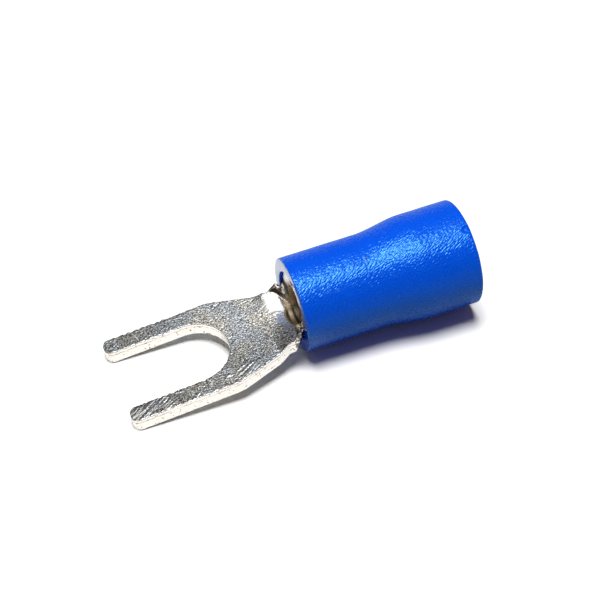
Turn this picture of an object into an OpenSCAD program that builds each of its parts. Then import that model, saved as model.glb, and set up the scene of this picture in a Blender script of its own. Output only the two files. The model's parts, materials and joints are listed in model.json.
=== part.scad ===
// Insulated fork terminal for a wire end.
// A stamped fork narrows to a neck, and the neck curls up into a rolled wire barrel.
// A moulded sleeve with a funnel end is pushed over the barrel.
// The barrel's axis is X and points to the wire. The origin is on it, at the barrel's front edge.

/* [Stud and fork] */
// Diameter of the stud that the fork slides around
stud_diameter = 4; // [3:0.5:6]
// Extra width of the slot over the stud
stud_clearance = 0.3; // [0.1:0.05:0.4]
// Width of each tine
tine_width = 1.15; // [1:0.05:2]
// Thickness of the sheet that the fork is stamped from
sheet_thickness = 0.8; // [0.6:0.05:1]
// Distance from the barrel's front edge to the centre of the slot's round end
slot_distance = 6.3; // [5.8:0.1:8]
// Distance from the slot's round end's centre to the tips of the tines
tine_reach = 4.5; // [3.5:0.1:6]
// Radius of the corners at the tips
tip_radius = 0.45; // [0.2:0.05:0.5]
// Distance from the barrel's front edge to the place where the sides would start to narrow
shoulder_distance = 4.4; // [3.9:0.1:4.8]
// Radius that rounds the sides into the taper
shoulder_radius = 2.5; // [1:0.1:3]
// Angle by which the fork slopes down towards its tips
fork_slope = 4.4; // [0:0.2:8]

/* [Neck] */
// Distance from the barrel's front edge to where the sides stop narrowing
neck_length = 1.1; // [0.9:0.1:1.4]
// Width of the neck
neck_width = 4.4; // [4.2:0.05:5]
// Depth of the fork's top face below the barrel's axis at the barrel's front edge
fork_depth = 0.78; // [0.6:0.02:0.9]
// Distance from the barrel's front edge to where the ears start to rise
ear_length = 0.95; // [0.7:0.05:1.1]
// Angle at which the sheared edges of the ears rise towards the barrel
ear_slope = 46; // [30:1:55]
// Length over which the neck's outer corners curl in to the barrel
curl_length = 0.6; // [0.4:0.05:0.8]
// Length of the hollow in the neck's floor, where the wire hole runs out
hollow_length = 0.6; // [0.4:0.05:0.8]
// Radius of the hollow's rounded end
hollow_radius = 1.55; // [1.4:0.05:2.5]
// Radius of the swell on the neck's underside, below the hollow
swell_radius = 1.2; // [1:0.05:1.4]

/* [Barrel] */
// Diameter of the wire hole
wire_bore = 2.3; // [2:0.1:2.8]
// Length of the barrel
barrel_length = 4.4; // [4:0.1:6]
// Gap between the rolled edges along the top of the barrel
seam_gap = 0.06; // [0.02:0.01:0.15]
// Grip grooves around the wire hole
groove_count = 3; // [1:1:4]
// Distance between grooves
groove_pitch = 0.9; // [0.7:0.05:1]
// Width of a groove
groove_width = 0.3; // [0.2:0.05:0.4]
// Depth of a groove
groove_depth = 0.08; // [0.04:0.02:0.16]

/* [Sleeve] */
// Length of the sleeve
sleeve_length = 10.5; // [9.5:0.1:14]
// How far the sleeve's front edge stands ahead of the barrel's
sleeve_overhang = 0.2; // [0.1:0.05:0.4]
// Wall of the sleeve around the barrel
sleeve_wall = 0.8; // [0.6:0.05:1]
// Room between the barrel and the sleeve, on the radius
sleeve_fit = 0.02; // [0.01:0.01:0.05]
// Hole of the funnel at the wire end
funnel_bore = 4.7; // [4.4:0.1:5]
// Wall of the funnel at the wire end
funnel_wall = 0.75; // [0.5:0.05:1]
// Length of the flare between the barrel part and the funnel
flare_length = 3; // [2:0.1:3.6]
// Radius on the edges of the front rim
front_rim_radius = 0.1; // [0.05:0.01:0.2]
// Radius on the edges of the wire end's rim
rear_rim_radius = 0.18; // [0.05:0.01:0.24]

/* [Sprue mark] */
// Radius of the ball that scoops the sprue's mark out of the wire end's rim
scar_radius = 0.5; // [0.3:0.02:0.6]
// Depth of the scoop
scar_depth = 0.12; // [0.06:0.02:0.2]
// Angle of the scoop around the sleeve, from the far side upwards
scar_angle = 112; // [0:1:180]

/* [Hidden] */
$fn = 96;

// Sizes of the fork
slot_width = stud_diameter + stud_clearance;
fork_half_width = slot_width / 2 + tine_width;
tip_distance = slot_distance + tine_reach;
tip_round = min(tip_radius, tine_width / 2);
neck_half_width = neck_width / 2;
taper_run = shoulder_distance - neck_length;
taper_angle = atan((fork_half_width - neck_half_width) / taper_run);
// Length on each side of the shoulder that its rounding takes up
shoulder_tangent = shoulder_radius * tan(taper_angle / 2);

// Sizes of the barrel
bore_radius = wire_bore / 2;
barrel_radius = bore_radius + sheet_thickness;
groove_span = (groove_count - 1) * groove_pitch;

// The neck runs a little way into the barrel's wall, just under its surface
neck_sink = 0.15;
neck_inset = 0.01;
seat_radius = barrel_radius - neck_inset;
swell_inset = 0.06;
ear_start_depth = fork_depth_at(ear_length);
ear_top = (ear_length + neck_sink) * tan(ear_slope) - ear_start_depth;

// Sizes of the sleeve
sleeve_front = -sleeve_overhang;
sleeve_back = sleeve_front + sleeve_length;
sleeve_bore_radius = barrel_radius + sleeve_fit;
sleeve_radius = sleeve_bore_radius + sleeve_wall;
funnel_bore_radius = funnel_bore / 2;
funnel_radius = funnel_bore_radius + funnel_wall;
flare_end = barrel_length + flare_length;
flare_steps = 16;
rim_steps = 6;
// Rims keep a flat between their two rounded edges
front_rim = min(front_rim_radius, sleeve_wall / 3);
rear_rim = min(rear_rim_radius, funnel_wall / 3);

// Extra length that carries a cut clear of the face that it starts from
cut_margin = 1;

// Depth of the fork's top face below the axis at a distance ahead of the barrel
function fork_depth_at(distance) = fork_depth + distance * tan(fork_slope);

// Slow start and slow end between 0 and 1
function ease(s) = s * s * (3 - 2 * s);
function mix(a, b, s) = a + (b - a) * s;

// Place on the X axis of a ball that passes through two points of [distance along X, radius]
function ball_place(a, b) = (a * a - b * b) / (2 * (a.x - b.x));

// Points of a quarter turn around a centre
function quarter(centre, radius, start) = [
    for (i = [0:rim_steps])
        centre + radius * [cos(start + 90 * i / rim_steps), sin(start + 90 * i / rim_steps)]
];

// Outline of the fork behind its tines and of the neck, with the tips towards -X
module fork_body_outline() {
    shoulder_x = -shoulder_distance;
    taper_point = [
        shoulder_x + shoulder_tangent * cos(taper_angle),
        fork_half_width - shoulder_tangent * sin(taper_angle)
    ];
    upper = [
        [-slot_distance, fork_half_width],
        [shoulder_x - shoulder_tangent, fork_half_width],
        taper_point,
        [-neck_length, neck_half_width],
        [neck_sink, neck_half_width]
    ];
    lower = [for (i = [len(upper) - 1:-1:0]) [upper[i].x, -upper[i].y]];
    polygon(concat(upper, lower));
    for (side = [-1, 1])
        translate([shoulder_x - shoulder_tangent, side * (fork_half_width - shoulder_radius)])
            circle(r = shoulder_radius);
}

// Outline of one tine, which runs a little way into the fork's body
module tine_outline() {
    translate([-tip_distance, slot_width / 2]) {
        translate([tip_round, 0])
            square([tine_reach, tine_width]);
        translate([0, tip_round])
            square([2 * tip_round, tine_width - 2 * tip_round]);
        for (y = [tip_round, tine_width - tip_round])
            translate([tip_round, y])
                circle(r = tip_round);
    }
}

module fork_outline() {
    difference() {
        fork_body_outline();
        translate([-slot_distance, 0])
            circle(d = slot_width);
        translate([-slot_distance - tip_distance, -tip_distance])
            square([tip_distance, 2 * tip_distance]);
    }
    tine_outline();
    mirror([0, 1])
        tine_outline();
}

// Moves a shape from the fork's own plane, with its top face at zero, to the sloping fork
module on_fork() {
    translate([0, 0, -fork_depth])
        rotate([0, -fork_slope, 0])
            children();
}

module fork() {
    on_fork()
        translate([0, 0, -sheet_thickness])
            linear_extrude(sheet_thickness)
                fork_outline();
}

// Everything from a height over the fork's top face upwards
module above_fork(height) {
    on_fork()
        translate([-tip_distance, -tip_distance, height])
            cube([2 * tip_distance, 2 * tip_distance, tip_distance]);
}

// Straight round bar along X
module bar(radius, start, end) {
    translate([start, 0, 0])
        rotate([0, 90, 0])
            cylinder(r = radius, h = end - start);
}

// Turned solid around the X axis from points of [radius, distance along the axis]
module turned(points) {
    rotate([90, 0, 90])
        rotate_extrude()
            polygon(points);
}

// Ball on the X axis, with its poles on the axis
module ball(place, radius) {
    translate([place, 0, 0])
        rotate([0, -90, 0])
            sphere(r = radius);
}

// Ball on the X axis that passes through two points of [distance along X, radius]
module ball_through(a, b) {
    place = ball_place(a, b);
    ball(place, norm(a - [place, 0]));
}

// What the curl takes off the sheet's outer corners, down to the barrel's own radius under the sleeve
module neck_trim() {
    seat = [sleeve_front, seat_radius];
    corner_x = sleeve_front - curl_length;
    corner = [corner_x, norm([neck_half_width, fork_depth_at(-corner_x) + sheet_thickness])];
    difference() {
        bar(2 * neck_width, -neck_length, neck_sink + cut_margin);
        ball_through(seat, corner);
        bar(seat_radius, corner_x, neck_sink + 2 * cut_margin);
    }
}

// Wedge whose sloping top is the sheared edge of both ears
module ear_wedge() {
    rotate([90, 0, 0])
        linear_extrude(neck_width, center = true)
            polygon([
                [-ear_length, -ear_start_depth],
                [neck_sink, ear_top],
                [neck_sink, -fork_depth - sheet_thickness / 2],
                [-ear_length, -ear_start_depth - sheet_thickness / 2]
            ]);
}

// Wire hole with its grip grooves, and its rounded run-out into the neck's floor
module wire_hole() {
    end_depth = fork_depth_at(hollow_length);
    ball_x = sqrt(pow(hollow_radius, 2) - pow(end_depth, 2)) - hollow_length;
    difference() {
        bar(bore_radius, -hollow_length - cut_margin, barrel_length + cut_margin);
        difference() {
            bar(2 * bore_radius, -hollow_length - 2 * cut_margin, 0);
            ball(ball_x, hollow_radius);
        }
    }
    for (i = [0:groove_count - 1]) {
        middle = barrel_length / 2 - groove_span / 2 + i * groove_pitch;
        bar(bore_radius + groove_depth, middle - groove_width / 2, middle + groove_width / 2);
    }
}

// Slit between the rolled edges along the top of the barrel
module seam() {
    translate([-cut_margin, -seam_gap / 2, 0])
        cube([barrel_length + 2 * cut_margin, seam_gap, barrel_radius + cut_margin]);
}

// Underside of the hollow, where the sheet swells down to meet the barrel
module swell() {
    difference() {
        translate([0, 0, swell_radius + swell_inset - barrel_radius])
            ball(0, swell_radius);
        above_fork(-sheet_thickness / 2);
    }
}

// Inside of the ears, which opens from the wire hole above the fork's top face
module ear_mouth() {
    intersection() {
        ball_through([0, bore_radius + neck_inset], [-ear_length, norm([neck_half_width, ear_start_depth])]);
        above_fork(0);
    }
}

module fork_terminal() {
    color("silver")
        difference() {
            union() {
                difference() {
                    union() {
                        fork();
                        ear_wedge();
                    }
                    neck_trim();
                }
                swell();
                bar(barrel_radius, 0, barrel_length);
            }
            ear_mouth();
            wire_hole();
            seam();
        }
}

// Flare between two radii, as points of [radius, distance along the axis]
function flare(from, to) = [
    for (i = [0:flare_steps])
        let (s = i / flare_steps)
        [mix(from, to, ease(s)), mix(barrel_length, flare_end, s)]
];

// Wall of the sleeve, once around its half section
function sleeve_section() =
    let (
        inner_flare = flare(sleeve_bore_radius, funnel_bore_radius),
        front = sleeve_front + front_rim,
        back = sleeve_back - rear_rim
    )
    concat(
        quarter([sleeve_bore_radius + front_rim, front], front_rim, 180),
        quarter([sleeve_radius - front_rim, front], front_rim, 270),
        flare(sleeve_radius, funnel_radius),
        quarter([funnel_radius - rear_rim, back], rear_rim, 0),
        quarter([funnel_bore_radius + rear_rim, back], rear_rim, 90),
        [for (i = [flare_steps:-1:0]) inner_flare[i]]
    );

// Ball that scoops the sprue mark out of the wire end's rim
module sprue_scoop() {
    rotate([scar_angle, 0, 0])
        translate([sleeve_back, funnel_radius + scar_radius - scar_depth, 0])
            sphere(r = scar_radius);
}

module insulating_sleeve() {
    color("royalblue")
        difference() {
            turned(sleeve_section());
            sprue_scoop();
        }
}

fork_terminal();
insulating_sleeve();
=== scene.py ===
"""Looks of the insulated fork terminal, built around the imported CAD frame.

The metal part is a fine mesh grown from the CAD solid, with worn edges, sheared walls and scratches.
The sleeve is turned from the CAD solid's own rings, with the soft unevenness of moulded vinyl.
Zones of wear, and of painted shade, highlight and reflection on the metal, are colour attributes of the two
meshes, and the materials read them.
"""

import json
import math
import random

import bpy
from mathutils import Matrix, Vector, noise


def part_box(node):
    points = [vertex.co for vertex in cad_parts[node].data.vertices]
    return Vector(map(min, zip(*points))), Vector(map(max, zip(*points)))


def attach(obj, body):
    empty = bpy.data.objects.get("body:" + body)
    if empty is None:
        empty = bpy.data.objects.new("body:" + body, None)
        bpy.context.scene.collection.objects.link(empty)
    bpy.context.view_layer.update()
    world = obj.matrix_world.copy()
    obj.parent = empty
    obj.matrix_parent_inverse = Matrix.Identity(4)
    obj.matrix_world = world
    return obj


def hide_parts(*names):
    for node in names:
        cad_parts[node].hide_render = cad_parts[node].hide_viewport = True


MM = 0.001

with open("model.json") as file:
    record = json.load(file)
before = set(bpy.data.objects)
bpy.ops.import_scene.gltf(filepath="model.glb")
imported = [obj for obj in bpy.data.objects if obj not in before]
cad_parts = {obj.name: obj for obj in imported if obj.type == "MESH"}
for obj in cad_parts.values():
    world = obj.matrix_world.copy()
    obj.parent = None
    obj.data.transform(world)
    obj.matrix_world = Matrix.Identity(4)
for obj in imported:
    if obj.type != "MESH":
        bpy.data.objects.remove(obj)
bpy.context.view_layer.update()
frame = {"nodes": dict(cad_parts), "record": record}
MOUNTS = {mount["name"]: mount for mount in frame["record"]["mounts"]}

# Fork: the slot's mount gives its centre in metres, its normal, and in millimetres its radius and the sheet
SLOT = MOUNTS["stud_slot"]
SLOT_CENTRE = Vector(SLOT["pos_m"])
FORK_UP = Vector(SLOT["axis"])
FORK_ALONG = Vector((0, 1, 0)).cross(FORK_UP)
SHEET = SLOT["dims"]["length_mm"]
SLOT_RADIUS = SLOT["dims"]["r_mm"]
FORK_HALF_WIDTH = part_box("fork_terminal")[1].y / MM

# Metal: fineness of the mesh, which is made coarser where the sleeve hides the barrel
METAL_VOXEL = 0.042 * MM
EDGE_SMOOTHING = 1
SMOOTHING_SHARE = 0.5
HIDDEN_BARREL_START = 0.5 * MM
KEPT_SHARE = 0.62

# Layers of the metal's colour attributes, with the zones that each one holds
METAL_LAYERS = {
    "zones": ("wall", "burnish_and_highlight", "tarnish_and_shade"),
    "marks": ("cut", "line", "tip"),
    "hollows": ("shade_and_seam", "edge", "strokes"),
    "sheens": ("polish_and_reflection", "notch", "brim"),
}

# Fades: a zone grows from 0 to 1 between the two limits, which are millimetres of a place,
# parts of a unit normal, or shares of the sheet's thickness

# Faces of the metal, by their normals and places
AHEAD_OF_BARREL = (-0.2, -0.9)
TOP_FACING = (0.8, 0.97)
SIDE_FACING = (0.75, 0.45)
OUTSIDE_FACING = (0.1, 0.4)
OUTSIDE_ACROSS = (0.8, 1.2)
RING_FACING = (-0.6, -0.85)
RING_X = (-0.2, -0.1)
FAR_FACING = (0.0, 0.4)
LEAST_RADIUS = 0.1

# Ears: sloping sheared edges on both, a broad sheared face on the far one, and painted shade on their insides
EAR_FACING_FORK = (-0.4, -0.6)
EAR_FACING_UP = (0.3, 0.5)
EAR_X = (-1.1, -0.95)
EAR_ACROSS = (0.9, 1.1)
FAR_FACE_START_X = (-0.52, -0.42)
FAR_FACE_END_X = (-0.01, -0.06)
FAR_FACE_Y = (1.3, 1.45)
FAR_FACE_Z = (-0.48, -0.38)
EAR_INSIDE_ACROSS = (0.9, 1.05)
EAR_INSIDE_DEPTH = (-0.03, -0.12)
EAR_INSIDE_END_X = (0.02, -0.04)

# Notch: the torn corner of the near ear, along a slanted line, painted in blotches of shade and highlight
NOTCH_START = (-0.70, -0.60)
NOTCH_SLANT = 0.5
NOTCH_MIDDLE_Y = -1.9
NOTCH_Y = (-0.8, -0.95)
NOTCH_DEPTH = (0.6, 0.45)
NOTCH_END_X = (-0.03, -0.1)

# Tarnish: in the hollow and the barrel's mouth, with a dark seam and a tan brim; painted shade lies on a
# wedge of the ring and deep in the barrel
STAIN_FACING = (0.2, 0.5)
STAIN_OFF_FLOOR = (0.015, 0.06)
STAIN_X = (-1.0, -0.7)
MOUTH_X = (-0.4, -0.25)
MOUTH_RADIUS = (1.6, 1.45)
WEDGE_START_X = (-0.1, -0.04)
WEDGE_END_X = (0.03, 0.01)
WEDGE_Y = (1.0, 1.1)
WEDGE_TOP_Z = (0.6, 0.4)
WEDGE_BOTTOM_Z = (-0.4, -0.25)
SEAM_X = 0.03
SEAM_HALF_WIDTH = (0.11, 0.05)
SEAM_DEPTH = (0.1, 0.2)
SHADED_BARREL_X = (0.8, 1.6)
BRIM_INNER_DEPTH = (0.17, 0.09)
BRIM_OUTER_DEPTH = (-0.05, 0.02)
BRIM_X = (0.0, -0.1)
TAN_MOUTH_X = (0.02, 0.08)
TAN_MOUTH_Y = (0.7, 0.9)

# Burnish and polish: the bright patch on the neck, cut off by a slanted line, partly burnish and partly
# painted highlight, and the smoother band round the hollow, which holds a painted reflection of the blue
# sleeve
BURNISH_START_X = (-1.75, -1.2)
BURNISH_LINE_PLACE = (-0.56, 0.41)
BURNISH_LINE_SLOPE = 0.65
BURNISH_LINE = (-0.25, 0.1)
BURNISH_END_Y = (2.0, 1.75)
BURNISH_FACING = (0.7, 0.9)
POLISH_RADIUS = (1.35, 0.95)
UNEVEN_WAVES = 4
UNEVEN_SHIFT = 0.15

# Sheared walls: the torn lower part stands out, and a brown line runs above it and along the near rim
TORN_LEVEL = (0.72, 0.66)
TORN_HEIGHT = 0.012
RIB_WAVES = Vector((6, 6, 0.8))
RIB_SHARE = 0.4
WALL_INSET = 0.016
LINE_LEVEL = 0.74
LINE_HALF_WIDTH = (0.015, 0.045)
RIM_START_FACING = (0.4, 0.65)
RIM_END_FACING = (0.99, 0.9)
RIM_FACING_NEAR = (0.0, -0.2)
RIM_SHARE = 0.75

# Tips: painted shade darkens the top face towards them and towards the near side
TIP_ALONG = (3.0, -3.0)
TIP_FAR_ACROSS = (0.0, 2.0)
TIP_FAR_LOSS = 0.25
TIP_NEAR_ACROSS = (0.8, -1.5)
TIP_NEAR_SHARE = 0.6

# Roughness in the mesh: heights and waves per millimetre of the grain, ragged edges and ribs of the ears,
# and the bias by which the edges and ribs lie mostly inwards
INWARD_BIAS = 0.5
GRAIN_HEIGHT = 0.004
GRAIN_WAVES = 8
RAGGED_HEIGHT = 0.05
RAGGED_WAVES = 5
EAR_RIB_HEIGHT = 0.03
EAR_RIB_WAVES = 5

# Neck: its sides curl up a little over the flat fork, ahead of the ears
NECK_SLOPE = 0.14
NECK_MIDDLE = 0.45
NECK_ROUNDING = 0.2
NECK_START_X = (-1.9, -1.1)
NECK_END_X = (-0.2, -0.5)

# Slot: the lower edge of its round end is drawn up in scallops
SCALLOP_HEIGHT = 0.22
SCALLOP_REACH = (SLOT_RADIUS + 0.35, SLOT_RADIUS + 0.1)
SCALLOP_ALONG = (-0.5, 0.3)
SCALLOP_LEVEL = (0.5, 0.0)
SCALLOP_WAVES = 4
FINE_SCALLOP_WAVES = 11
FINE_SCALLOP_SHARE = 0.6
FINE_SCALLOP_ROW = 3

# Dents: the upper far edges of the tines are ragged from shearing
DENTS_HEIGHT = 0.11
DENTS_REACH = (0.16, 0.03)
DENTS_ALONG = (1.8, 1.2)
DENTS_LEVEL = (0.5, 1.0)
DENTS_WAVES = 6
DENTS_BIAS = 0.2

# Scratches on the fork's top face: how many, how wide and deep, and between which values they vary
SCRATCH_COUNT = 34
SCRATCH_WIDTH = 0.06
SCRATCH_DEPTH = 0.02
SCRATCH_PROFILE = (0.2, 1.0)
SCRATCH_LEAST_TOP = 0.5
SCRATCH_ALONG = (-3.0, 6.0)
SCRATCH_ACROSS = (-3.2, 3.2)
SCRATCH_HEADING = (-20, 140)
SCRATCH_HALF_LENGTH = (0.12, 0.24)
SCRATCH_STRENGTH = (0.4, 1.0)
SCRATCH_SEED = 7

# Scuff strokes: slanted, on both tips and on the near side where the fork tapers to the neck
STROKE_ANGLE = math.radians(31)
NEAR_TIP_ALONG = (-1.5, -2.4)
NEAR_TIP_ACROSS = (-2.0, -2.3)
FAR_TIP_ALONG = (-3.4, -3.9)
FAR_TIP_ACROSS = (2.0, 2.3)
FAR_TIP_SHARE = 0.7
TAPER_START_ALONG = (1.7, 2.1)
TAPER_END_ALONG = (3.6, 3.0)
TAPER_ACROSS = (-2.0, -2.4)

# Tin plate: colours
TIN_COOL = (0.80, 0.86, 0.92, 1)
TIN_WARM = (0.93, 0.92, 0.85, 1)
GRAIN_SHADE = (0.55, 0.55, 0.55, 1)
WHITE = (1, 1, 1, 1)
# Painted shade of the tips and the near side, grey and a little blue
TIP_SHADE_GREY = (0.37, 0.42, 0.46, 1)
# Painted reflection of the blue sleeve in the polished band round the hollow
SLEEVE_REFLECTION_BLUE = (0.52, 0.64, 0.93, 1)
# Painted highlight of the burnished patch on the neck
BURNISH_HIGHLIGHT_WHITE = (0.93, 0.93, 0.92, 1)
SHEARED_SHADE = (0.88, 0.82, 0.73, 1)
SHEARED_WHITE = (0.99, 0.96, 0.91, 1)
PIT_BROWN = (0.30, 0.22, 0.14, 1)
STRIPE_BROWN = (0.13, 0.10, 0.08, 1)
STAIN_DARK = (0.33, 0.28, 0.20, 1)
STAIN_LIGHT = (0.48, 0.41, 0.28, 1)
BRIM_TAN = (0.95, 0.78, 0.52, 1)
# Painted shade in the ears' insides, on the ring's wedge and deep in the barrel, and the colour of the dark
# seam
SHADE_AND_SEAM_BROWN = (0.07, 0.05, 0.035, 1)
STROKE_WHITE = (0.97, 0.97, 0.96, 1)
# Painted highlight and shade of the torn corner of the near ear
NOTCH_HIGHLIGHT_WHITE = (0.95, 0.93, 0.90, 1)
NOTCH_SHADE_DARK = (0.16, 0.14, 0.11, 1)
LINE_BROWN = (0.33, 0.24, 0.17, 1)

# Tin plate: textures, as waves per millimetre, and the heights of their bumps
GRAIN_SCALE = 11.5
SPECK_SCALE = 12.5
STROKE_SCALE = 7.0
STROKE_STRETCH = (12, 1, 1)
PATCH_SCALE = 0.55
PIT_SCALE = 7.0
STRIPE_SCALE = 5.0
STRIPE_STRETCH = (1, 1, 3)
NOTCH_SCALE = 6.0
LINE_SCALE = 1.7
GRAIN_BUMP = 0.021 * MM
STROKE_BUMP = 0.035 * MM
SPECK_BUMP = 0.012 * MM

# Tin plate: values of the noise between which each texture changes from one colour to the other
PATCH_LIMITS = (0.42, 0.58)
SPECK_LIMITS = (0.35, 0.65)
SHEARED_LIMITS = (0.3, 0.5)
PIT_LIMITS = (0.68, 0.74)
STRIPE_LIMITS = (0.55, 0.60)
STAIN_LIMITS = (0.3, 0.7)
NOTCH_LIMITS = (0.40, 0.48)
LINE_LIMITS = (0.4, 0.6)
LINE_SHARES = (0.2, 0.9)
STROKE_MIDDLE = 0.5
STROKE_LIMITS = (0.006, 0.030)
MATT_LIMITS = (0.3, 0.7)

# Tin plate: shares of a zone's colour, roughness of each zone, and how far each zone calms the grain
CUT_SHARE = 0.8
TIP_SHADE_SHARE = 0.55
REFLECTION_BLUE_SHARE = 0.75
TIP_MORE_PITS = 0.05
MATT_ROUGHNESS = (0.34, 0.54)
TIP_SMOOTHER = 0.12
STROKE_ROUGHNESS = 0.55
WALL_ROUGHNESS = 0.3
STAIN_ROUGHNESS = 0.5
BRIM_ROUGHNESS = 0.75
BURNISH_ROUGHNESS = 0.42
POLISH_ROUGHNESS = 0.38
CALM_SHARES = {"wall": 0.8, "polish_and_reflection": 0.6, "burnish_and_highlight": 1.0, "tarnish_and_shade": 0.8, "line": 1.0, "tip": 0.4,
               "strokes": 0.5}

# Sleeve: fineness of the turned mesh, its soft waves, and the limits of its front face and of the gloss there
SLEEVE_SEGMENTS = 300
OUTSIDE_STEP = 0.075 * MM
INSIDE_STEP = 0.16 * MM
FULL_RING = 32
RING_DIGITS = 7
SHORTEST_CURVE = 0.12 * MM
LEAST_RUN = 1e-7
LEAST_RISE = 1e-6
WAVE_DEPTH = 0.01 * MM
WAVES = 0.8
FRONT_FACING = (-0.7, -0.9)
GLOSSY_FRONT_Z = (-1.5, 0.5)

# Sprue mark: a shallow dent at the wire end's rim, and the speck on the sleeve
DENT_ANGLE = math.radians(113)
DENT_FROM_RIM = 0.24 * MM
DENT_RADIUS = 0.27 * MM
DENT_DEPTH = 0.05 * MM
DENT_PROFILE = (0.7, 1.0)
SPECK_PLACE = Vector((4.17, -0.82, 2.64)) * MM
SPECK_RADIUS = 0.09 * MM
SPECK_PROFILE = (0.5, 1.0)

# Vinyl: colours, textures as waves per millimetre, roughness and gloss
BLUE_DARK = (0.0002, 0.094, 0.88, 1)
BLUE_LIGHT = (0.0004, 0.110, 0.96, 1)
SPECK_BROWN = (0.10, 0.04, 0.03, 1)
SHINE_TINT = (0.27, 1.0, 1.0, 1)
SHINE_LEVEL = 0.6
WRINKLE_SCALE = 12.5
WRINKLE_STRETCH = (2.6, 1, 1)
WRINKLE_TURN = (0, math.radians(-11), math.radians(28))
WRINKLE_BUMP = 0.030 * MM
PORE_SCALE = 11.0
PORE_LIMITS = (0.3, 0.7)
PORE_SHARE = 0.35
CLOUD_SCALE = 0.7
VINYL_ROUGHNESS = (0.24, 0.30)
DENT_ROUGHNESS = 0.18
FRONT_ROUGHNESS = 0.06
FRONT_COAT = 0.8
COAT_IOR = 1.5

# Camera, fitted to the photo, around the centre of the sleeve's front face
CAMERA_AZIMUTH = math.radians(-16.148)
CAMERA_ELEVATION = math.radians(45.792)
CAMERA_ROLL = math.radians(-6.009)
CAMERA_DISTANCE = 95 * MM
CAMERA_CLIP = (10 * MM, 10)
PIXELS_PER_METRE = 17.737 / MM
IMAGE_SIZE = 600
TARGET_PIXEL = (291.217, 305.309)
SENSOR = 36

# Light: one large soft source overhead and a dim room around it
KEY_SHARE = 0.98
KEY_AZIMUTH = math.radians(-90)
KEY_ELEVATION = math.radians(89)
KEY_SPREAD = math.radians(28)
ROOM_COLOUR = (0.064, 0.046, 0.031, 1)

# Floor: its colour for diffuse bounces, in mirrored views of the fork and of the sleeve, and for the camera
FLOOR_HALF_SIZE = 2.0
FLOOR_BOUNCE = (0.33, 0.33, 0.33, 1)
FLOOR_BY_FORK = (1.03, 1.03, 1.03, 1)
# Beside the sleeve the cooler tint is painted blue light, bounced off the sleeve
FLOOR_BY_SLEEVE = (0.43, 0.58, 0.64, 1)
FLOOR_CHANGE_X = (0.5 * MM, 2 * MM)
FLOOR_WHITE = (1.2, 1.2, 1.2, 1)


def fade(limits, value):
    """Share that grows smoothly from 0 to 1 as a value goes from the first limit to the second."""
    start, full = limits
    share = min(max((value - start) / (full - start), 0), 1)
    return share * share * (3 - 2 * share)


def layered_noise(place, octaves):
    """Noise at a place, in layers that are each twice as fine and half as strong as the one before."""
    return noise.fractal(place, 1.0, 2.0, octaves)


def add_object(name, data):
    piece = bpy.data.objects.new(name, data)
    bpy.context.scene.collection.objects.link(piece)
    return piece


def add_layers(mesh, names):
    """Adds colour attributes to a mesh, and gives the data of each."""
    for name in names:
        mesh.color_attributes.new(name, "FLOAT_COLOR", "POINT")
    return [mesh.color_attributes[name].data for name in names]


class Nodes:
    """Short way to add and join shader nodes."""

    def __init__(self, material):
        material.use_nodes = True
        self.tree = material.node_tree
        self.shader = self.tree.nodes["Principled BSDF"]

    def put(self, socket, value):
        """Links another node's output to a socket, or sets the socket's own value."""
        if isinstance(value, bpy.types.NodeSocket):
            self.tree.links.new(value, socket)
        else:
            socket.default_value = value

    def add(self, kind, values=None, **settings):
        node = self.tree.nodes.new(kind)
        for name, value in settings.items():
            setattr(node, name, value)
        for socket, value in (values or {}).items():
            self.put(node.inputs[socket], value)
        return node

    def math(self, operation, a, b=0.0):
        return self.add("ShaderNodeMath", {0: a, 1: b}, operation=operation).outputs[0]

    def mix(self, share, a, b, blend="MIX"):
        """Blend of two colours."""
        node = self.add("ShaderNodeMix", {0: share, 6: a, 7: b}, data_type="RGBA", blend_type=blend)
        return node.outputs[2]

    def between(self, share, a, b):
        """Number between two numbers."""
        return self.add("ShaderNodeMix", {0: share, 2: a, 3: b}, data_type="FLOAT").outputs[0]

    def ramp(self, value, low, high, to_low=0.0, to_high=1.0):
        values = {"Value": value, "From Min": low, "From Max": high, "To Min": to_low, "To Max": to_high}
        return self.add("ShaderNodeMapRange", values).outputs[0]

    def millimetres(self, stretch=(1, 1, 1), turn=(0, 0, 0)):
        """Place on the object in millimetres, along turned axes and stretched along each of them."""
        place = self.add("ShaderNodeTexCoord").outputs["Object"]
        values = {"Vector": place, "Rotation": turn, "Scale": [MM * share for share in stretch]}
        return self.add("ShaderNodeMapping", values, vector_type="TEXTURE").outputs[0]

    def noise(self, place, scale, detail):
        return self.add("ShaderNodeTexNoise", {"Vector": place, "Scale": scale, "Detail": detail}).outputs[0]

    def zones(self, name):
        """Red, green and blue of a colour attribute of the mesh."""
        colour = self.add("ShaderNodeAttribute", attribute_name=name).outputs["Color"]
        return self.add("ShaderNodeSeparateColor", {0: colour}).outputs[:3]

    def bump(self, height, distance, normal=None):
        values = {"Height": height, "Distance": distance, "Strength": 1.0}
        if normal is not None:
            values["Normal"] = normal
        return self.add("ShaderNodeBump", values).outputs[0]

    def shade(self, **values):
        """Sets inputs of the shader, named as in its panel but with underscores."""
        for name, value in values.items():
            self.put(self.shader.inputs[name.replace("_", " ").title().replace("Ior", "IOR")], value)


def apply_modifiers(piece):
    bpy.context.view_layer.update()
    depsgraph = bpy.context.evaluated_depsgraph_get()
    piece.data = bpy.data.meshes.new_from_object(piece.evaluated_get(depsgraph))
    piece.modifiers.clear()


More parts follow.
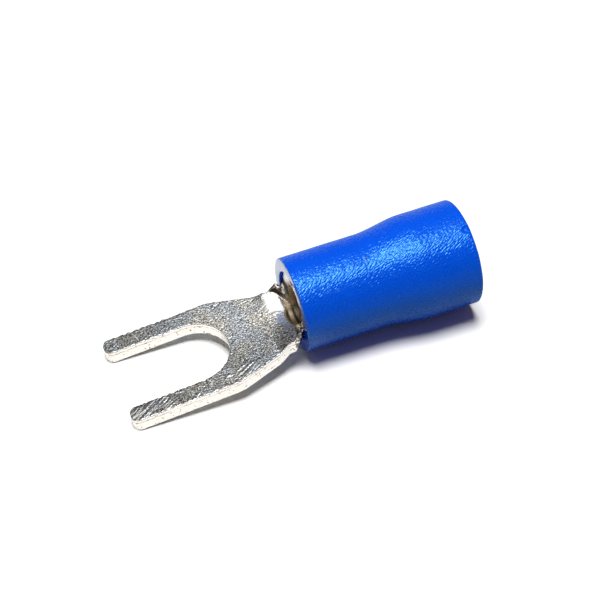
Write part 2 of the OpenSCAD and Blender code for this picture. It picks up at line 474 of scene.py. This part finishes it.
def fine_metal_mesh(node):
    """Fine even mesh of a CAD node, with its edges a little rounded."""
    piece = add_object("terminal_sheet", node.data.copy())
    remesh = piece.modifiers.new("fine", "REMESH")
    remesh.mode = "VOXEL"
    remesh.voxel_size = METAL_VOXEL
    smooth = piece.modifiers.new("rounded", "SMOOTH")
    smooth.factor = SMOOTHING_SHARE
    smooth.iterations = EDGE_SMOOTHING
    apply_modifiers(piece)
    hidden = piece.vertex_groups.new(name="hidden")
    hidden.add([v.index for v in piece.data.vertices if v.co.x > HIDDEN_BARREL_START], 1.0, "REPLACE")
    coarse = piece.modifiers.new("coarse", "DECIMATE")
    coarse.ratio = KEPT_SHARE
    coarse.vertex_group = hidden.name
    apply_modifiers(piece)
    piece.vertex_groups.clear()
    return piece


class Spot:
    """A point of the metal's skin: its place in millimetres, where it lies on the fork, and how it faces."""

    def __init__(self, point, normal):
        offset = (point - SLOT_CENTRE) / MM
        self.place = point / MM
        self.normal = normal
        self.along = offset.dot(FORK_ALONG)
        self.across = offset.y
        self.height = offset.dot(FORK_UP) + SHEET / 2
        self.level = self.height / SHEET
        self.depth = SHEET - self.height
        self.upward = normal.dot(FORK_UP)
        self.radius = max(math.hypot(self.place.y, self.place.z), LEAST_RADIUS)
        self.inward = -(normal.y * self.place.y + normal.z * self.place.z) / self.radius
        self.ahead = fade(AHEAD_OF_BARREL, self.place.x)
        self.uneven = UNEVEN_SHIFT * layered_noise(self.place * UNEVEN_WAVES, octaves=3)


def scratches():
    """Ends and strength of each scratch on the fork's top face, as places along and across it."""
    draw = random.Random(SCRATCH_SEED)
    lines = []
    for _ in range(SCRATCH_COUNT):
        middle = Vector((draw.uniform(*SCRATCH_ALONG), draw.uniform(*SCRATCH_ACROSS)))
        heading = math.radians(draw.uniform(*SCRATCH_HEADING))
        half = Vector((math.cos(heading), math.sin(heading))) * draw.uniform(*SCRATCH_HALF_LENGTH)
        lines.append((middle - half, middle + half, draw.uniform(*SCRATCH_STRENGTH)))
    return lines


def scratch_share(spot, lines):
    """Strength of the deepest scratch at a spot on the top face."""
    place = Vector((spot.along, spot.across))
    deepest = 0
    for start, end, strength in lines:
        run = end - start
        if (place - start).length > run.length + SCRATCH_WIDTH:
            continue
        share = min(max((place - start).dot(run) / run.length_squared, 0), 1)
        gap = (place - start - run * share).length / SCRATCH_WIDTH
        deepest = max(deepest, strength * (1 - fade(SCRATCH_PROFILE, gap)))
    return deepest


def stroke_share(spot):
    """Share of the slanted scuff strokes on the top face."""
    along, across = spot.along, spot.across
    near_tip = fade(NEAR_TIP_ALONG, along) * fade(NEAR_TIP_ACROSS, across)
    far_tip = FAR_TIP_SHARE * fade(FAR_TIP_ALONG, along) * fade(FAR_TIP_ACROSS, across)
    taper = fade(TAPER_START_ALONG, along) * fade(TAPER_END_ALONG, along) * fade(TAPER_ACROSS, across)
    return max(near_tip, far_tip, taper)


def ear_edge(spot):
    """Share of the ears' sloping sheared edges, and of the far ear's broad sheared face."""
    place, normal = spot.place, spot.normal
    slope = fade(EAR_FACING_FORK, normal.x) * fade(EAR_FACING_UP, normal.z)
    slope *= fade(EAR_X, place.x) * fade(EAR_ACROSS, abs(place.y))
    face = fade(FAR_FACE_START_X, place.x) * fade(FAR_FACE_END_X, place.x)
    face *= fade(FAR_FACE_Y, place.y) * fade(FAR_FACE_Z, place.z)
    return max(slope, face)


def side_wall(spot):
    """Share of the sheared walls of the fork, and of the outsides of the ears."""
    outside = fade(OUTSIDE_FACING, -spot.inward) * fade(OUTSIDE_ACROSS, abs(spot.place.y))
    return fade(SIDE_FACING, abs(spot.upward)) * max(spot.ahead, outside)


def painted_shade_wedge(spot):
    """Share of the painted shade on a wedge on the far side of the barrel's front edge."""
    place = spot.place
    ring = fade(WEDGE_START_X, place.x) * fade(WEDGE_END_X, place.x) * fade(WEDGE_Y, place.y)
    return ring * fade(WEDGE_TOP_Z, place.z) * fade(WEDGE_BOTTOM_Z, place.z)


def hollow_tarnish(spot, edge, ring):
    """Share of the stain in the hollow, between the ears and in the barrel's mouth."""
    hollow = fade(STAIN_FACING, spot.inward) * fade(STAIN_OFF_FLOOR, abs(spot.depth))
    hollow *= fade(STAIN_X, spot.place.x)
    mouth = fade(MOUTH_X, spot.place.x) * fade(MOUTH_RADIUS, spot.radius) * (1 - ring)
    return max(hollow, mouth) * (1 - edge)


def painted_shade_and_seam(spot, shade_wedge):
    """Share of the darkest colour: painted shade on the insides of the ears, on the ring's wedge and deep in
    the barrel, and the dark seam in the hollow.
    """
    place = spot.place
    ears = fade(EAR_INSIDE_ACROSS, abs(place.y)) * fade(EAR_INSIDE_DEPTH, spot.depth)
    ears *= fade(EAR_INSIDE_END_X, place.x)
    seam = fade(SEAM_HALF_WIDTH, abs(place.x - SEAM_X)) * fade(SEAM_DEPTH, spot.depth)
    return max(ears, seam, shade_wedge, fade(SHADED_BARREL_X, place.x))


def tan_brim(spot):
    """Share of the tan rim of the hollow, and of the tan wall in the barrel's mouth."""
    place = spot.place
    rim = fade(BRIM_INNER_DEPTH, spot.depth) * fade(BRIM_OUTER_DEPTH, spot.depth) * fade(BRIM_X, place.x)
    return max(rim, fade(TAN_MOUTH_X, place.x) * fade(TAN_MOUTH_Y, place.y))


def burnish_and_highlight_patch(spot):
    """Share of the bright patch on the far half of the neck, partly burnish and partly painted highlight,
    with an uneven outline.
    """
    place, uneven = spot.place, spot.uneven
    line_x, line_y = BURNISH_LINE_PLACE
    beyond_line = place.y - line_y + BURNISH_LINE_SLOPE * (place.x - line_x)
    patch = fade(BURNISH_START_X, place.x + uneven) * fade(BURNISH_LINE, beyond_line + uneven)
    return patch * fade(BURNISH_END_Y, place.y + uneven) * fade(BURNISH_FACING, spot.upward)


def brown_line(spot, side):
    """Share of the brown line above the torn part of the walls, and along the near rim of the top face."""
    line = side * (1 - fade(LINE_HALF_WIDTH, abs(spot.level - LINE_LEVEL)))
    rim = fade(RIM_START_FACING, spot.upward) * fade(RIM_END_FACING, spot.upward)
    rim *= fade(RIM_FACING_NEAR, spot.normal.y)
    return max(line, RIM_SHARE * rim * spot.ahead)


def tip_painted_shade(spot):
    """Share of painted shade by which the fork darkens towards its tips and its near side."""
    tip = fade(TIP_ALONG, spot.along) * (1 - TIP_FAR_LOSS * fade(TIP_FAR_ACROSS, spot.across))
    return max(tip, TIP_NEAR_SHARE * fade(TIP_NEAR_ACROSS, spot.across))


def torn_notch(spot):
    """Share of the torn corner of the near ear, painted in blotches of shade and highlight."""
    place = spot.place
    notch = fade(NOTCH_START, place.x - NOTCH_SLANT * (place.y - NOTCH_MIDDLE_Y)) * fade(NOTCH_Y, place.y)
    return notch * fade(NOTCH_DEPTH, spot.depth) * fade(NOTCH_END_X, place.x)


def metal_zones(spot, lines):
    """Share of each zone of the metal at a spot."""
    edge = ear_edge(spot)
    side = side_wall(spot)
    ring = fade(RING_FACING, spot.normal.x) * fade(RING_X, spot.place.x)
    shade_wedge = painted_shade_wedge(spot)
    top = fade(TOP_FACING, spot.upward) * spot.ahead
    # The painted shade of the wedge goes with the tarnish
    tarnish_and_shade = max(hollow_tarnish(spot, edge, ring), shade_wedge)
    burnish_and_highlight = burnish_and_highlight_patch(spot) * (1 - tarnish_and_shade)
    from_barrel = math.hypot(spot.place.x, spot.place.y) + spot.uneven
    return {
        "side": side,
        "wall": max(side, edge, ring),
        "burnish_and_highlight": burnish_and_highlight,
        "tarnish_and_shade": tarnish_and_shade,
        "cut": scratch_share(spot, lines) * (1 - burnish_and_highlight) if top > SCRATCH_LEAST_TOP else 0,
        "line": brown_line(spot, side),
        "tip": tip_painted_shade(spot),
        "shade_and_seam": painted_shade_and_seam(spot, shade_wedge),
        "edge": edge,
        "strokes": top * stroke_share(spot),
        "polish_and_reflection": fade(POLISH_RADIUS, from_barrel) * top * (1 - burnish_and_highlight),
        "notch": torn_notch(spot),
        "brim": tan_brim(spot),
    }


def skin_shift(spot, zone):
    """How far wear moves the skin along its normal, in millimetres."""
    place, upward = spot.place, spot.upward
    grain = layered_noise(place * GRAIN_WAVES, octaves=2)
    shift = GRAIN_HEIGHT * grain * (1 - zone["wall"]) * (1 - zone["burnish_and_highlight"])
    torn = fade(TORN_LEVEL, spot.level) * zone["side"]
    ribs = 1 - RIB_SHARE + RIB_SHARE * noise.noise(place * RIB_WAVES)
    shift += TORN_HEIGHT * torn * ribs - WALL_INSET * zone["side"]
    # The corner is 1 where the skin faces halfway up, and 0 on the top face and on the walls
    corner = max(4 * upward * (1 - upward), 0)
    ragged = corner * spot.ahead * fade(FAR_FACING, spot.normal.y)
    shift += RAGGED_HEIGHT * ragged * (noise.noise(place * RAGGED_WAVES) - INWARD_BIAS)
    ear_ribs = noise.noise(Vector(((place.x + place.z) * EAR_RIB_WAVES, place.y, 0)))
    shift += EAR_RIB_HEIGHT * zone["edge"] * (ear_ribs - INWARD_BIAS)
    return shift - SCRATCH_DEPTH * zone["cut"]


def neck_lift(spot):
    """How far the neck's sides curl up over the flat fork, in millimetres."""
    ahead = fade(NECK_START_X, spot.place.x) * fade(NECK_END_X, spot.place.x)
    beside = abs(spot.place.y) - NECK_MIDDLE
    rise = (beside + math.hypot(beside, NECK_ROUNDING)) / 2
    return NECK_SLOPE * ahead * rise


def slot_scallop(spot):
    """How far the lower edge of the slot's round end is drawn up, in millimetres."""
    near_slot = fade(SCALLOP_REACH, math.hypot(spot.along, spot.across)) * fade(SCALLOP_ALONG, spot.along)
    turn = math.atan2(spot.across, spot.along)
    wave = noise.noise(Vector((turn * SCALLOP_WAVES, 0, 0)))
    wave += FINE_SCALLOP_SHARE * noise.noise(Vector((turn * FINE_SCALLOP_WAVES, FINE_SCALLOP_ROW, 0)))
    return SCALLOP_HEIGHT * max(wave, 0) * near_slot * fade(SCALLOP_LEVEL, spot.level)


def far_edge_dent(spot):
    """How far the upper far edges of the tines are dented, in millimetres."""
    from_edge = FORK_HALF_WIDTH - spot.across
    if spot.across < 0:
        from_edge = math.hypot(max(spot.along, 0), spot.across) - SLOT_RADIUS
    near_edge = fade(DENTS_REACH, from_edge) * fade(DENTS_ALONG, spot.along)
    rough = max(noise.noise(spot.place * DENTS_WAVES) + DENTS_BIAS, 0)
    return DENTS_HEIGHT * rough * near_edge * fade(DENTS_LEVEL, spot.level)


def wear_metal(mesh):
    """Moves the metal's skin as stamping and wear did, and marks the zones for its material, painted shade,
    highlight and reflection among them.
    """
    layers = add_layers(mesh, METAL_LAYERS)
    normals = [Vector(normal.vector) for normal in mesh.vertex_normals]
    lines = scratches()
    for vertex, normal, *colours in zip(mesh.vertices, normals, *layers):
        spot = Spot(vertex.co, normal)
        zone = metal_zones(spot, lines)
        lift = neck_lift(spot) - far_edge_dent(spot)
        if zone["side"] > 0:
            lift += slot_scallop(spot)
        vertex.co += (normal * skin_shift(spot, zone) + FORK_UP * lift) * MM
        for colour, names in zip(colours, METAL_LAYERS.values()):
            colour.color = [zone[name] for name in names] + [1]


def metal_colour(n, zone, grain, specks, lines):
    """Colour of the tin plate, from its plain top face to the stained hollow and the bare brown line, with
    painted shade, highlight and reflection in some zones.
    """
    place = n.millimetres()
    patches = n.noise(place, PATCH_SCALE, detail=2.0)
    tint = n.mix(n.ramp(patches, *PATCH_LIMITS), TIN_COOL, TIN_WARM)
    speckled = n.mix(n.ramp(specks, *SPECK_LIMITS), GRAIN_SHADE, WHITE)
    plain = n.mix(1.0, tint, speckled, blend="MULTIPLY")
    # Painted shade: the top face darkens towards the tips and the near side
    plain = n.mix(n.math("MULTIPLY", zone["tip"], TIP_SHADE_SHARE), plain, TIP_SHADE_GREY)
    # Painted reflection: the polished band round the hollow takes on the sleeve's blue
    plain = n.mix(n.math("MULTIPLY", zone["polish_and_reflection"], REFLECTION_BLUE_SHARE), plain, SLEEVE_REFLECTION_BLUE)
    # Partly burnish and partly painted highlight: the patch on the neck is near white
    plain = n.mix(zone["burnish_and_highlight"], plain, BURNISH_HIGHLIGHT_WHITE)

    sheared = n.mix(n.ramp(specks, *SHEARED_LIMITS), SHEARED_SHADE, SHEARED_WHITE)
    pits = n.noise(place, PIT_SCALE, detail=1.0)
    pits = n.math("ADD", pits, n.math("MULTIPLY", zone["tip"], TIP_MORE_PITS))
    sheared = n.mix(n.ramp(pits, *PIT_LIMITS), sheared, PIT_BROWN)
    stripes = n.noise(n.millimetres(STRIPE_STRETCH), STRIPE_SCALE, detail=0.0)
    striped = n.math("MULTIPLY", zone["edge"], n.ramp(stripes, *STRIPE_LIMITS))
    sheared = n.mix(striped, sheared, STRIPE_BROWN)

    stained_and_shaded = n.mix(n.ramp(grain, *STAIN_LIMITS), STAIN_DARK, STAIN_LIGHT)
    stained_and_shaded = n.mix(zone["brim"], stained_and_shaded, BRIM_TAN)
    # Painted shade in the ears' insides, on the ring's wedge and deep in the barrel, and the dark seam in the
    # hollow
    stained_and_shaded = n.mix(zone["shade_and_seam"], stained_and_shaded, SHADE_AND_SEAM_BROWN)

    colour = n.mix(zone["wall"], plain, sheared)
    colour = n.mix(zone["tarnish_and_shade"], colour, stained_and_shaded)
    colour = n.mix(lines, colour, STROKE_WHITE)
    notch_blotches = n.noise(place, NOTCH_SCALE, detail=1.0)
    # Painted shade and highlight in blotches on the torn corner
    torn = n.mix(n.ramp(notch_blotches, *NOTCH_LIMITS), NOTCH_HIGHLIGHT_WHITE, NOTCH_SHADE_DARK)
    colour = n.mix(zone["notch"], colour, torn)
    uneven = n.ramp(n.noise(place, LINE_SCALE, detail=1.0), *LINE_LIMITS, *LINE_SHARES)
    return n.mix(n.math("MULTIPLY", zone["line"], uneven), colour, LINE_BROWN)


def metal_roughness(n, zone, specks, lines):
    """Roughness of the tin plate in each of its zones."""
    smoother = n.math("MULTIPLY", zone["tip"], TIP_SMOOTHER)
    rough = n.math("SUBTRACT", n.ramp(specks, *MATT_LIMITS, *MATT_ROUGHNESS), smoother)
    rough = n.between(lines, rough, STROKE_ROUGHNESS)
    smooth = n.math("MAXIMUM", n.math("MAXIMUM", zone["wall"], zone["burnish_and_highlight"]), zone["notch"])
    rough = n.between(smooth, rough, WALL_ROUGHNESS)
    rough = n.between(zone["tarnish_and_shade"], rough, n.between(zone["brim"], STAIN_ROUGHNESS, BRIM_ROUGHNESS))
    rough = n.between(n.math("MAXIMUM", zone["burnish_and_highlight"], zone["edge"]), rough, BURNISH_ROUGHNESS)
    return n.between(zone["polish_and_reflection"], rough, POLISH_ROUGHNESS)


def metal_bump(n, zone, grain, specks, strokes):
    """Normal of the grainy tin plate, calm in the smooth zones."""
    even = 0.0
    for name, share in CALM_SHARES.items():
        even = n.math("MAXIMUM", even, n.math("MULTIPLY", zone[name], share))
    calm = n.math("SUBTRACT", 1.0, even)
    normal = n.bump(n.math("MULTIPLY", grain, calm), GRAIN_BUMP)
    normal = n.bump(n.math("MULTIPLY", strokes, zone["strokes"]), STROKE_BUMP, normal=normal)
    return n.bump(n.math("MULTIPLY", specks, calm), SPECK_BUMP, normal=normal)


def metal_material():
    material = bpy.data.materials.new("tin_plate")
    n = Nodes(material)
    zone = {}
    for layer, names in METAL_LAYERS.items():
        zone.update(zip(names, n.zones(layer)))
    place = n.millimetres()
    grain = n.noise(place, GRAIN_SCALE, detail=0.3)
    specks = n.noise(place, SPECK_SCALE, detail=0.0)
    strokes = n.noise(n.millimetres(STROKE_STRETCH, (0, 0, STROKE_ANGLE)), STROKE_SCALE, detail=0.5)
    from_middle = n.math("ABSOLUTE", n.math("SUBTRACT", strokes, STROKE_MIDDLE))
    lines = n.math("MULTIPLY", n.ramp(from_middle, *STROKE_LIMITS, 1.0, 0.0), zone["strokes"])
    lines = n.math("MAXIMUM", lines, n.math("MULTIPLY", zone["cut"], CUT_SHARE))
    n.shade(base_color=metal_colour(n, zone, grain, specks, lines), metallic=1.0)
    n.shade(roughness=metal_roughness(n, zone, specks, lines))
    n.shade(normal=metal_bump(n, zone, grain, specks, strokes))
    return material


def sleeve_rings(node):
    """Place along the axis, inner radius and outer radius of each full ring of the CAD sleeve."""
    rings = {}
    for vertex in node.data.vertices:
        rings.setdefault(round(vertex.co.x, RING_DIGITS), []).append(math.hypot(vertex.co.y, vertex.co.z))
    return [(x, min(radii), max(radii)) for x, radii in sorted(rings.items()) if len(radii) >= FULL_RING]


def slope_between(low, high):
    run = high.x - low.x
    return (high.y - low.y) / run if abs(run) > LEAST_RUN else 0


def curve_height(start, end, start_rise, end_rise, s):
    """Height on a smooth curve between two heights, with the given rises at its ends."""
    return ((2 * s**3 - 3 * s**2 + 1) * start + (s**3 - 2 * s**2 + s) * start_rise
            + (3 * s**2 - 2 * s**3) * end + (s**3 - s**2) * end_rise)


def smooth_line(points, step):
    """Points along a smooth curve through the given points, at most a step apart."""
    line = []
    for index in range(len(points) - 1):
        before = points[max(index - 1, 0)]
        start, end = points[index], points[index + 1]
        after = points[min(index + 2, len(points) - 1)]
        span = end.x - start.x
        start_rise = slope_between(before, end) * span
        end_rise = slope_between(start, after) * span
        curved = abs(span) > SHORTEST_CURVE and abs(end.y - start.y) > LEAST_RISE
        count = max(math.ceil((end - start).length / step), 1)
        for i in range(count):
            point = start.lerp(end, i / count)
            if curved:
                point.y = curve_height(start.y, end.y, start_rise, end_rise, i / count)
            line.append(point)
    line.append(points[-1].copy())
    return line


def sleeve_mesh(node):
    """The sleeve, turned from the CAD node's own rings."""
    rings = sleeve_rings(node)
    outside = smooth_line([Vector((x, outer)) for x, inner, outer in rings], OUTSIDE_STEP)
    inside = smooth_line([Vector((x, inner)) for x, inner, outer in rings], INSIDE_STEP)
    section = outside + inside[::-1]
    vertices = []
    for x, radius in section:
        for i in range(SLEEVE_SEGMENTS):
            angle = 2 * math.pi * i / SLEEVE_SEGMENTS
            vertices.append((x, radius * math.cos(angle), radius * math.sin(angle)))
    faces = []
    for j in range(len(section)):
        row = j * SLEEVE_SEGMENTS
        following = (j + 1) % len(section) * SLEEVE_SEGMENTS
        for i in range(SLEEVE_SEGMENTS):
            k = (i + 1) % SLEEVE_SEGMENTS
            faces.append((row + i, row + k, following + k, following + i))
    mesh = bpy.data.meshes.new("sleeve_body")
    mesh.from_pydata(vertices, [], faces)
    mesh.validate()
    mesh.update()
    return mesh


def dent_centre():
    """Middle of the sprue mark, on the sleeve's outside."""
    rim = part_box("insulating_sleeve")[1]
    return Vector((rim.x - DENT_FROM_RIM, rim.y * math.cos(DENT_ANGLE), rim.y * math.sin(DENT_ANGLE)))


def wear_sleeve(mesh):
    """Soft unevenness of moulded vinyl, the dent of the sprue mark, and the zones for the material."""
    layers = add_layers(mesh, ("zones", "glosses"))
    normals = [Vector(normal.vector) for normal in mesh.vertex_normals]
    dent = dent_centre()
    for vertex, normal, zone, gloss in zip(mesh.vertices, normals, *layers):
        place = vertex.co / MM
        front = fade(FRONT_FACING, normal.x)
        speck = 1 - fade(SPECK_PROFILE, (vertex.co - SPECK_PLACE).length / SPECK_RADIUS)
        wave = layered_noise(place * WAVES, octaves=2)
        vertex.co -= normal * (WAVE_DEPTH * (1 + wave))
        dented = 1 - fade(DENT_PROFILE, (vertex.co - dent).length / DENT_RADIUS)
        vertex.co.yz *= 1 - dented * DENT_DEPTH / vertex.co.yz.length
        zone.color = (front, speck, dented, 1)
        gloss.color = (front * fade(GLOSSY_FRONT_Z, place.z), 0, 0, 1)


def sleeve_material():
    material = bpy.data.materials.new("blue_sleeve")
    n = Nodes(material)
    front, speck, dented = n.zones("zones")
    glossy_front = n.zones("glosses")[0]
    place = n.millimetres()
    wrinkles = n.noise(n.millimetres(WRINKLE_STRETCH, WRINKLE_TURN), WRINKLE_SCALE, detail=0.0)
    pores = n.noise(place, PORE_SCALE, detail=0.0)
    colour = n.mix(n.noise(place, CLOUD_SCALE, detail=2.0), BLUE_DARK, BLUE_LIGHT)
    n.shade(base_color=n.mix(speck, colour, SPECK_BROWN))
    rough = n.between(dented, n.ramp(pores, *PORE_LIMITS, *VINYL_ROUGHNESS), DENT_ROUGHNESS)
    n.shade(roughness=n.between(front, rough, FRONT_ROUGHNESS))
    n.shade(specular_ior_level=SHINE_LEVEL, specular_tint=SHINE_TINT)
    n.shade(coat_weight=n.math("MULTIPLY", glossy_front, FRONT_COAT))
    n.shade(coat_roughness=FRONT_ROUGHNESS, coat_ior=COAT_IOR)
    height = n.math("ADD", wrinkles, n.math("MULTIPLY", pores, PORE_SHARE))
    height = n.math("MULTIPLY", height, n.math("SUBTRACT", 1.0, n.math("MAXIMUM", front, dented)))
    n.shade(normal=n.bump(height, WRINKLE_BUMP))
    return material


def floor_plane():
    """Point and normal of the floor, which the tines' tips and the sleeve's lowest ring touch."""
    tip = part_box("fork_terminal")[0]
    rings = sleeve_rings(frame["nodes"]["insulating_sleeve"])
    slope = min((-outer - tip.z) / (x - tip.x) for x, inner, outer in rings)
    return Vector((tip.x, 0, tip.z)), Vector((-slope, 0, 1)).normalized()


def floor_material():
    """White for the camera, dimmer for bounces, and dimmer and cooler as mirrored beside the sleeve, where
    the cool tint is painted bounce light from the blue vinyl.
    """
    material = bpy.data.materials.new("floor")
    n = Nodes(material)
    path = n.add("ShaderNodeLightPath").outputs
    position = n.add("ShaderNodeNewGeometry").outputs["Position"]
    along = n.add("ShaderNodeSeparateXYZ", {0: position}).outputs["X"]
    mirrored = n.mix(n.ramp(along, *FLOOR_CHANGE_X), FLOOR_BY_FORK, FLOOR_BY_SLEEVE)
    unseen = n.mix(path["Is Glossy Ray"], FLOOR_BOUNCE, mirrored)
    seen = n.math("MAXIMUM", path["Is Camera Ray"], path["Is Transmission Ray"])
    n.shade(base_color=n.mix(seen, unseen, FLOOR_WHITE), roughness=1.0, specular_ior_level=0.0)
    return material


def build_floor():
    point, up = floor_plane()
    size = FLOOR_HALF_SIZE
    mesh = bpy.data.meshes.new("floor")
    corners = [(-size, -size, 0), (size, -size, 0), (size, size, 0), (-size, size, 0)]
    mesh.from_pydata(corners, [], [(0, 1, 2, 3)])
    mesh.materials.append(floor_material())
    floor = add_object("floor", mesh)
    floor.matrix_world = Matrix.Translation(point) @ up.to_track_quat("Z", "Y").to_matrix().to_4x4()


def build_key_light():
    lamp = bpy.data.lights.new("key", "SUN")
    lamp.angle = KEY_SPREAD
    lamp.energy = math.pi * KEY_SHARE / math.sin(KEY_ELEVATION)
    key = add_object("key", lamp)
    flat = math.cos(KEY_ELEVATION)
    towards = Vector((flat * math.cos(KEY_AZIMUTH), flat * math.sin(KEY_AZIMUTH), math.sin(KEY_ELEVATION)))
    key.rotation_euler = towards.to_track_quat("Z", "Y").to_euler()


def build_room():
    """A dim room, which the camera sees as white."""
    world = bpy.data.worlds.new("studio")
    bpy.context.scene.world = world
    world.use_nodes = True
    tree = world.node_tree
    path = tree.nodes.new("ShaderNodeLightPath")
    colour = tree.nodes.new("ShaderNodeMix")
    colour.data_type = "RGBA"
    colour.inputs[6].default_value = ROOM_COLOUR
    colour.inputs[7].default_value = WHITE
    tree.links.new(path.outputs["Is Camera Ray"], colour.inputs[0])
    tree.links.new(colour.outputs[2], tree.nodes["Background"].inputs["Color"])


def build_camera():
    az, el, roll = CAMERA_AZIMUTH, CAMERA_ELEVATION, CAMERA_ROLL
    back = Vector((math.sin(az) * math.cos(el), -math.cos(az) * math.cos(el), math.sin(el)))
    level = Vector((math.cos(az), math.sin(az), 0))
    upright = back.cross(level)
    right = math.cos(roll) * level + math.sin(roll) * upright
    up = math.cos(roll) * upright - math.sin(roll) * level
    target = Vector((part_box("insulating_sleeve")[0].x, 0, 0))
    aside = (TARGET_PIXEL[0] - IMAGE_SIZE / 2) / PIXELS_PER_METRE
    above = (IMAGE_SIZE / 2 - TARGET_PIXEL[1]) / PIXELS_PER_METRE
    data = bpy.data.cameras.new("camera")
    data.sensor_width = SENSOR
    data.lens = SENSOR * PIXELS_PER_METRE * CAMERA_DISTANCE / IMAGE_SIZE
    data.clip_start, data.clip_end = CAMERA_CLIP
    camera = add_object("camera", data)
    turn = Matrix((right, up, back)).transposed().to_4x4()
    place = target + back * CAMERA_DISTANCE - aside * right - above * up
    camera.matrix_world = Matrix.Translation(place) @ turn
    bpy.context.scene.camera = camera


def dress(piece, node, material):
    """Gives a piece its material and its place in the frame."""
    piece.data.materials.clear()
    piece.data.materials.append(material)
    for polygon in piece.data.polygons:
        polygon.use_smooth = True
    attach(piece, "root")
    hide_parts(node)


terminal = fine_metal_mesh(frame["nodes"]["fork_terminal"])
wear_metal(terminal.data)
dress(terminal, "fork_terminal", metal_material())

sleeve = add_object("sleeve_body", sleeve_mesh(frame["nodes"]["insulating_sleeve"]))
wear_sleeve(sleeve.data)
dress(sleeve, "insulating_sleeve", sleeve_material())

build_floor()
build_key_light()
build_room()
build_camera()
bpy.context.scene.view_settings.view_transform = "Standard"
